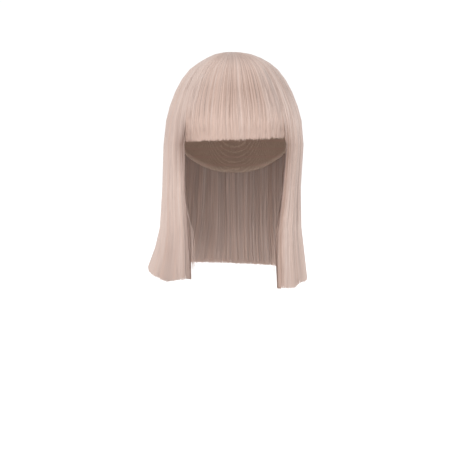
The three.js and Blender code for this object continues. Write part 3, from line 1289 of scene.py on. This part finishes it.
@dataclass
class Whorl:
    """The small round patch of strands at the crown, combed round as they leave its middle.

    Attributes:
        strands: How many there are.
        stations: Points along each.
        root_row: Last row at which they start.
        reach: Least and most length, in rows.
        twist_deg: How far round they are combed over their first rows.
        twist_rows: Those rows.
        twist_power: How the twist grows: below 1, fastest at the middle.
        sink_mm: How far they lie one over another.
        root_dive_mm: How far they come up from under the others.
        root_part: Part of a strand that comes up.
        tip_dive_mm: How far they go in under the hair round them.
        tip_part: Where along a strand it starts to go in.
        tone: Mean and spread of their tones.
        rose: Their place between ash and rose fibre.
        strand_mm: Usual width of a strand.
    """

    strands: int = 420
    stations: int = 7
    root_row: float = 0.22
    reach: tuple[float, float] = (0.35, 0.6)
    twist_deg: float = 70.0
    twist_rows: float = 0.5
    twist_power: float = 0.7
    sink_mm: float = 0.5
    root_dive_mm: float = 0.5
    root_part: float = 0.3
    tip_dive_mm: float = 1.6
    tip_part: float = 0.5
    tone: tuple[float, float] = (0.48, 0.1)
    rose: float = 0.6
    strand_mm: float = 0.45

    def build(self, fibre: bpy.types.Material, rng: np.random.Generator) -> bpy.types.Object:
        """Lay the strands and stand them for the whorl's node.

        Args:
            fibre: The hair's material.
            rng: Seeded source of chance.

        Returns:
            The finished piece.
        """
        column = (self.strands, 1)
        root = rng.uniform(0.0, self.root_row, column)
        share = np.linspace(0, 1, self.stations)
        row = root + rng.uniform(*self.reach, column) * share
        twist = self.twist_deg * (row / self.twist_rows) ** self.twist_power
        azimuth = rng.uniform(-180, 180, column) - twist
        outside = HAIR.place(azimuth, row)
        way = unit(HEAD.place(azimuth, row) - outside)
        dive_mm = self.tip_dive_mm * smoothstep(share, self.tip_part, 1.0)
        dive_mm = dive_mm + self.root_dive_mm * (1 - smoothstep(share, 0, self.root_part))
        under = (rng.uniform(0.0, self.sink_mm, column) + dive_mm) * MM
        tone = np.repeat(rng.normal(*self.tone, column).clip(0, 1), self.stations, axis=1)
        width = rng.uniform(*STRAND_WIDTH, self.strands) * self.strand_mm * MM
        centres, rose = outside + way * under[..., None], np.full_like(row, self.rose)
        strands = Strands(centres, -way, width, tone, rose, row / HAIR.last)
        piece = strand_mesh("whorl_strands", [strands])
        dress(piece, fibre, "crown_whorl")
        LOG.info("%s: %d strands", piece.name, self.strands)
        return piece


def dress(piece: bpy.types.Object, finish: bpy.types.Material, node: str | None = None) -> None:
    """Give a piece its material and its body.

    Args:
        piece: The piece.
        finish: Its material.
        node: The CAD node that it stands for, if any.
    """
    piece.data.materials.append(finish)
    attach(piece, BODY)
    if node:
        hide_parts(node)


def strand_mesh(name: str, batches: list[Strands]) -> bpy.types.Object:
    """Join strands as closed three-sided fibres in one mesh.

    Args:
        name: The object's name.
        batches: Strands, each batch with its own number of stations.

    Returns:
        The object, with tone, rose and along attributes and a map with a cell for each strand.
    """
    points, corners, starts, cells, normals = [], [], [], [], []
    marks: dict[str, list[np.ndarray]] = {label: [] for label in STRAND_MARKS}
    made, loops, cell = 0, 0, 0
    side = math.ceil(math.sqrt(sum(len(b.width) for b in batches)))
    for batch in batches:
        count, stations = batch.centres.shape[:2]
        points.append(fibre_rings(batch).reshape(-1, 3))
        first = made + np.arange(count)[:, None] * stations * 3
        quads, ends = fibre_faces(stations)
        quads = (first[:, :, None] + quads[None]).reshape(-1, 4)
        ends = (first[:, :, None] + ends[None]).reshape(-1, 3)
        corners += [quads.ravel(), ends.ravel()]
        starts += [loops + 4 * np.arange(len(quads)), loops + 4 * len(quads) + 3 * np.arange(len(ends))]
        normals.append(fibre_normals(batch))
        for label, values in marks.items():
            values.append(np.repeat(getattr(batch, label).ravel(), 3))
        cells.append(cell_map(count, stations, cell, side))
        loops += quads.size + ends.size
        made += count * stations * 3
        cell += count

    mesh = bpy.data.meshes.new(name)
    coordinates, corner = np.concatenate(points), np.concatenate(corners)
    start = np.concatenate(starts)
    mesh.vertices.add(len(coordinates))
    mesh.vertices.foreach_set("co", coordinates.astype(np.float32).ravel())
    mesh.loops.add(len(corner))
    mesh.loops.foreach_set("vertex_index", corner.astype(np.int32))
    mesh.polygons.add(len(start))
    mesh.polygons.foreach_set("loop_start", start.astype(np.int32))
    mesh.update(calc_edges=True)
    mesh.shade_smooth()
    for label, values in marks.items():
        attribute = mesh.attributes.new(label, "FLOAT", "POINT")
        attribute.data.foreach_set("value", np.concatenate(values).astype(np.float32))
    uv = mesh.uv_layers.new(name="OFBake")
    uv.uv.foreach_set("vector", np.concatenate(cells).astype(np.float32).ravel())
    mesh.normals_split_custom_set(np.concatenate(normals))
    return add_object(name, mesh)


FIBRE_TURNS = (90, 210, 330)  # where the three corners of a fibre lie, the first on top
FIBRE_FLAT = 0.45  # height of a fibre as a share of its width
FIBRE_BEND = 0.2  # how far its shading leans to the sides: 0 shades the hair as one smooth surface
ROOT_WIDTH = 0.4  # a fibre starts with this share of its width
ROOT_PART = 0.12  # and is full at this part of its length
TIP_WIDTH = 0.75  # it ends with this share
TIP_SLOPE = 0.3  # part of its length in which it would lose all its width

CELL_MARGIN = 0.08  # empty border of a strand's cell in the map, as a share of the cell
CELL_SIDE = 0.9  # width of one side of a strand in its third of the cell
CELL_CAP = 0.2  # how far the ends lie clear of the sides, as a share of one station
CELL_ENDS = ((0.0, 0.3), (0.5, 0.8))  # where the two ends lie across the cell


def fibre_rings(batch: Strands) -> np.ndarray:
    """Three points round each station of each strand, wide across the comb lines and flat to the head.

    Args:
        batch: The strands.

    Returns:
        Points, by strand, station and corner.
    """
    _, across, up = batch.axes
    share = np.linspace(0, 1, batch.centres.shape[1])
    grown = ROOT_WIDTH + (1 - ROOT_WIDTH) * np.minimum(1, share / ROOT_PART)
    taper = np.minimum(grown, TIP_WIDTH + (1 - share) / TIP_SLOPE)
    half = (batch.width[:, None] / 2 * taper)[..., None]
    turns = np.radians(FIBRE_TURNS)
    corners = [across * half * math.cos(a) + up * half * FIBRE_FLAT * math.sin(a) for a in turns]
    return np.stack([batch.centres + c for c in corners], axis=2)


def fibre_faces(stations: int) -> tuple[np.ndarray, np.ndarray]:
    """Corner numbers of one closed strand.

    Args:
        stations: Points along the strand.

    Returns:
        The sides as quads and the two ends as triangles.
    """
    quads = []
    for i in range(stations - 1):
        for k in range(3):
            a, b = 3 * i + k, 3 * i + (k + 1) % 3
            quads.append((b, a, a + 3, b + 3))
    top = 3 * (stations - 1)
    return np.array(quads), np.array([(0, 1, 2), (top + 2, top + 1, top)])


def fibre_normals(batch: Strands) -> np.ndarray:
    """Shading normals that follow the combed surface, as the sheen of smooth hair does.

    Args:
        batch: The strands.

    Returns:
        A normal for each face corner: the sides of all the strands, and then their ends.
    """
    along, across, up = batch.axes
    lean = [up, unit(up - across * FIBRE_BEND), unit(up + across * FIBRE_BEND)]
    count, stations = batch.centres.shape[:2]
    sides = np.empty((count, stations - 1, 3, 4, 3))
    for k, (a, b) in enumerate(((lean[0], lean[1]), (-up, -up), (lean[2], lean[0]))):
        for corner, values in enumerate((b[:, :-1], a[:, :-1], a[:, 1:], b[:, 1:])):
            sides[:, :, k, corner] = values
    ends = np.repeat(np.stack([-along[:, 0], along[:, -1]], axis=1), 3, axis=1)
    return np.concatenate([sides.reshape(-1, 3), ends.reshape(-1, 3)])


def cell_map(count: int, stations: int, first: int, side: int) -> np.ndarray:
    """Map places for strands, each laid out flat in a cell of its own, so that each keeps its tone.

    Args:
        count: Number of strands.
        stations: Points along each.
        first: Number of the first strand's cell.
        side: Cells along a side of the map.

    Returns:
        A place for each face corner: the sides of all the strands, and then their ends.
    """
    number = first + np.arange(count)
    corner = np.stack([number % side, number // side], axis=-1)[:, None, :]
    sides, caps = [], []
    for i in range(stations - 1):
        for k in range(3):
            left, right = k / 3, (k + CELL_SIDE) / 3
            low, high = i / stations, (i + 1) / stations
            sides += [(right, low), (left, low), (left, high), (right, high)]
    low = (stations - 1 + CELL_CAP) / stations
    for left, right in CELL_ENDS:
        caps += [(left, low), (right, low), (right, 1.0)]
    room = 1 - 2 * CELL_MARGIN
    spread = [(corner + CELL_MARGIN + room * np.array(flat)[None]).reshape(-1, 2) for flat in (sides, caps)]
    return np.concatenate(spread) / side


@dataclass
class UnderLayer:
    """A closed slab of hair inside a panel, so that no light shows between its strands.

    Attributes:
        panel: The panel.
        step_mm: Width of one streak of the slab.
        rows: Faces from the crown to the cut line.
        under_mm: How far under the combed surface it lies.
        over_mm: How far it stays above the inside of the hair.
        least_mm: Its least thickness.
        short_mm: How far above the cut line it ends.
        root_row: Row where it starts.
        tone: Mean and spread of the tones of its streaks.
        rose_spread: Spread of their shares of rose fibre.
    """

    panel: Panel
    step_mm: float = 2.0
    rows: int = 26
    under_mm: float = 1.6
    over_mm: float = 2.6
    least_mm: float = 0.5
    short_mm: float = 3.5
    root_row: float = 0.03
    tone: tuple[float, float] = (0.42, 0.08)
    rose_spread: float = 0.2

    def build(self, fibre: bpy.types.Material, rng: np.random.Generator) -> bpy.types.Object:
        """Make the slab and dress it in streaks of fibre.

        Args:
            fibre: The hair's material.
            rng: Seeded source of chance.

        Returns:
            The finished piece.
        """
        panel = self.panel
        columns = int(panel.span_mm / self.step_mm)
        tones = rng.normal(*self.tone, columns + 1).clip(0, 1)
        roses = rng.normal(panel.rose, self.rose_spread, columns + 1).clip(0, 1)
        bm = bmesh.new()
        for label in STRAND_MARKS:
            bm.verts.layers.float.new(label)
        tone_layer, rose_layer, along_layer = (bm.verts.layers.float[label] for label in STRAND_MARKS)
        rims = []
        for inside in (False, True):
            sheet = bmesh.ops.create_grid(bm, x_segments=columns, y_segments=self.rows, size=0.5)["verts"]
            across = np.array([v.co.x + 0.5 for v in sheet])
            share = np.array([v.co.y + 0.5 for v in sheet])
            spots = self.spots(across, share, inside)
            for vert, spot, a, s in zip(sheet, spots, across, share):
                vert.co = spot
                vert[tone_layer] = tones[round(a * columns)]
                vert[rose_layer] = roses[round(a * columns)]
                vert[along_layer] = s
            edges = {edge for vert in sheet for edge in vert.link_edges}
            rims += [edge for edge in edges if edge.is_boundary]
        bmesh.ops.bridge_loops(bm, edges=rims)
        bmesh.ops.recalc_face_normals(bm, faces=bm.faces)
        piece = piece_from(bm, f"{panel.node}_under_layer")
        dress(piece, fibre)
        LOG.info("%s: %d faces", piece.name, len(piece.data.polygons))
        return piece

    def spots(self, across: np.ndarray, share: np.ndarray, inside: bool) -> np.ndarray:
        """Places on one side of the slab.

        Args:
            across: Places across the panel.
            share: Places from the crown to the slab's end.
            inside: True for the side towards the head.

        Returns:
            The points.
        """
        panel = self.panel
        tip = HAIR.row_at(panel.tip_level(across) + self.short_mm * MM)
        row = self.root_row + (tip - self.root_row) * share
        outside, way, depth = panel.surface(across, row)
        shown = panel.relief(across, row) + self.under_mm * MM
        inner = np.maximum(depth - self.over_mm * MM, shown + self.least_mm * MM)
        return outside + way * (inner if inside else shown)[:, None]


def piece_from(bm: bmesh.types.BMesh, name: str) -> bpy.types.Object:
    """Turn a bmesh to a smooth object at the origin.

    Args:
        bm: The shape, which is freed.
        name: The object's name.

    Returns:
        The object, linked to the scene.
    """
    mesh = bpy.data.meshes.new(name)
    bm.to_mesh(mesh)
    bm.free()
    mesh.shade_smooth()
    return add_object(name, mesh)


# Cap


SAME_POINT = 1e-6  # distance at which the grid's points at the crown and its seam are one


@dataclass
class NetCap:
    """The stretch-net cap, a smooth dome with a turned hem.

    Attributes:
        columns: Faces round it.
        rows: Faces from the crown to the edge.
        rim_mid_mm: Level of its edge above the ears.
        rim_tilt_mm: How much higher the edge is at the forehead.
        hem_mm: How much the turned hem stands in from the wall.
        hem_share: Where the hem starts and is full, as shares of the way to the edge.
        row_power: How much closer its rows lie at the crown: 1 spaces them evenly.
        centre_mm: Level of the point that the hem turns to.
    """

    columns: int = 120
    rows: int = 44
    rim_mid_mm: float = -98.0
    rim_tilt_mm: float = 48.0
    hem_mm: float = 0.9
    hem_share: tuple[float, float] = (0.955, 0.97)
    row_power: float = 1.15
    centre_mm: float = -80.0

    def build(self, net: bpy.types.Material) -> bpy.types.Object:
        """Make the cap and stand it for its node.

        Args:
            net: The cap's material.

        Returns:
            The finished piece.
        """
        bm = bmesh.new()
        bmesh.ops.create_grid(bm, x_segments=self.columns, y_segments=self.rows, size=0.5)
        azimuth = np.array([(v.co.x + 0.5) * 360 for v in bm.verts])
        share = np.array([v.co.y + 0.5 for v in bm.verts])
        edge = HEAD.row_at((self.rim_mid_mm + self.rim_tilt_mm * np.cos(np.radians(azimuth))) * MM)
        spots = HEAD.place(azimuth, edge * share**self.row_power)
        hem = self.hem_mm * MM * smoothstep(share, *self.hem_share)
        centre = np.array([0, 0, self.centre_mm * MM])
        spots = spots + unit(centre - spots) * hem[:, None]
        for vert, spot in zip(bm.verts, spots):
            vert.co = spot
        bmesh.ops.remove_doubles(bm, verts=bm.verts, dist=SAME_POINT)
        bmesh.ops.recalc_face_normals(bm, faces=bm.faces)
        lowest = min(bm.faces, key=lambda f: f.calc_center_median().z)
        if lowest.normal.dot(lowest.calc_center_median() - Vector(centre)) < 0:
            bmesh.ops.reverse_faces(bm, faces=bm.faces)
        bmesh.ops.solidify(bm, geom=bm.faces, thickness=-CAP_WALL)
        piece = piece_from(bm, "net_cap")
        dress(piece, net, "wig_cap")
        LOG.info("%s: %d faces", piece.name, len(piece.data.polygons))
        return piece


# Studio


@dataclass(frozen=True)
class Softbox:
    """One soft light that faces the wig.

    Attributes:
        name: The light's name.
        place: Where it stands, in metres.
        size: Length of its sides.
        watts: Its power.
    """

    name: str
    place: tuple[float, float, float]
    size: tuple[float, float]
    watts: float

    def build(self, aim: Vector) -> None:
        """Add the light.

        Args:
            aim: The point that it faces.
        """
        data = bpy.data.lights.new(self.name, "AREA")
        data.shape = "RECTANGLE"
        data.size, data.size_y = self.size
        data.energy = self.watts
        light = add_object(self.name, data)
        light.location = self.place
        light.rotation_euler = (aim - light.location).to_track_quat("-Z", "Y").to_euler()


@dataclass
class Studio:
    """White floor, white air, soft lights and the camera.

    Attributes:
        photo_px: Side of the picture.
        scale_mm: Size of a pixel at the wig.
        distance: From the camera to the wig, in metres.
        elevation_deg: How far the camera looks down.
        aim_mm: The point at the middle of the picture.
        sensor_mm: Width of the camera's sensor.
        floor_mm: Level of the floor under the wig.
        floor_radius: Its reach, in metres.
        air: Light from all round, as the wig gets it.
        backdrop: The same light as the camera sees it.
        boxes: The lights.
    """

    photo_px: int = 460
    scale_mm: float = 1.3
    distance: float = 2.2
    elevation_deg: float = 3.0
    aim_mm: tuple[float, float, float] = (-5.85, 0.0, -220.9)
    sensor_mm: float = 36.0
    floor_mm: float = -435.0
    floor_radius: float = 9.0
    air: float = 0.9
    backdrop: float = 1.05
    boxes: tuple[Softbox, ...] = (
        Softbox("key_softbox", (-1.0, -2.1, 0.7), (1.4, 1.2), 7),
        Softbox("right_softbox", (1.9, -0.5, 0.5), (1.2, 1.4), 3.6),
        Softbox("left_softbox", (-1.9, -0.5, 0.8), (1.2, 1.4), 7.1),
        Softbox("crown_softbox", (0.0, 0.9, 1.9), (1.6, 1.0), 4.0),
    )

    def build(self, paper: bpy.types.Material) -> None:
        """Set up everything round the wig.

        Args:
            paper: The floor's material.
        """
        aim = Vector(self.aim_mm) * MM
        self.add_camera(aim)
        self.add_floor(paper)
        self.add_air()
        for box in self.boxes:
            box.build(aim)
        bpy.context.scene.view_settings.view_transform = "Standard"

    def add_camera(self, aim: Vector) -> None:
        """Place the camera in front of the wig, a little above it.

        Args:
            aim: The point at the middle of the picture.
        """
        data = bpy.data.cameras.new("camera")
        data.sensor_width = self.sensor_mm
        data.lens = self.sensor_mm * self.distance / (self.photo_px * self.scale_mm * MM)
        camera = add_object("camera", data)
        tilt = math.radians(self.elevation_deg)
        back = Vector((0, -math.cos(tilt), math.sin(tilt)))
        camera.location = aim + back * self.distance
        camera.rotation_euler = (-back).to_track_quat("-Z", "Y").to_euler()
        bpy.context.scene.camera = camera

    def add_floor(self, paper: bpy.types.Material) -> None:
        """Lay a wide round floor.

        Args:
            paper: Its material.
        """
        bm = bmesh.new()
        bmesh.ops.create_circle(bm, cap_ends=True, segments=96, radius=self.floor_radius)
        bmesh.ops.translate(bm, verts=bm.verts, vec=(0, 0, self.floor_mm * MM))
        floor = piece_from(bm, "floor")
        floor.data.materials.append(paper)

    def add_air(self) -> None:
        """Fill the studio with white light, and show it as white behind the wig."""
        world = bpy.data.worlds.new("studio_air")
        bpy.context.scene.world = world
        world.use_nodes = True
        tree = world.node_tree
        tree.nodes.clear()
        path = add_node(tree, "ShaderNodeLightPath")
        strength = add_node(
            tree, "ShaderNodeMapRange",
            inputs={"Value": path.outputs["Is Camera Ray"], "To Min": self.air, "To Max": self.backdrop},
        )
        sky = add_node(
            tree, "ShaderNodeBackground",
            inputs={"Color": srgb("FFFFFF"), "Strength": strength.outputs["Result"]},
        )
        add_node(tree, "ShaderNodeOutputWorld", inputs={"Surface": sky.outputs["Background"]})


HAIR_PIECES = (
    HairPiece("fringe_strands", FRINGE, FRINGE_LAYERS),
    HairPiece("left_side_strands", LEFT_SIDE, SIDE_LAYERS, strays=Strays(36)),
    HairPiece("right_side_strands", RIGHT_SIDE, SIDE_LAYERS, strays=Strays(14)),
    HairPiece("back_right_strands", BACK, BACK_LAYERS, (0.0, 0.5)),
    HairPiece("back_left_strands", BACK, BACK_LAYERS, (0.5, 1.0)),
)


def main() -> None:
    """Build the studio, the cap and the hair."""
    logging.basicConfig(level=logging.INFO, format="%(name)s: %(message)s")
    Studio().build(StudioPaper().make())
    NetCap().build(StretchNet().make())
    fibre = SyntheticFibre().make()
    rng = np.random.default_rng(SEED)
    for panel in (FRINGE, LEFT_SIDE, RIGHT_SIDE, BACK):
        UnderLayer(panel).build(fibre, rng)
    for hair in HAIR_PIECES:
        hair.build(fibre, rng)
    Whorl().build(fibre, rng)


if __name__ == "__main__":
    main()
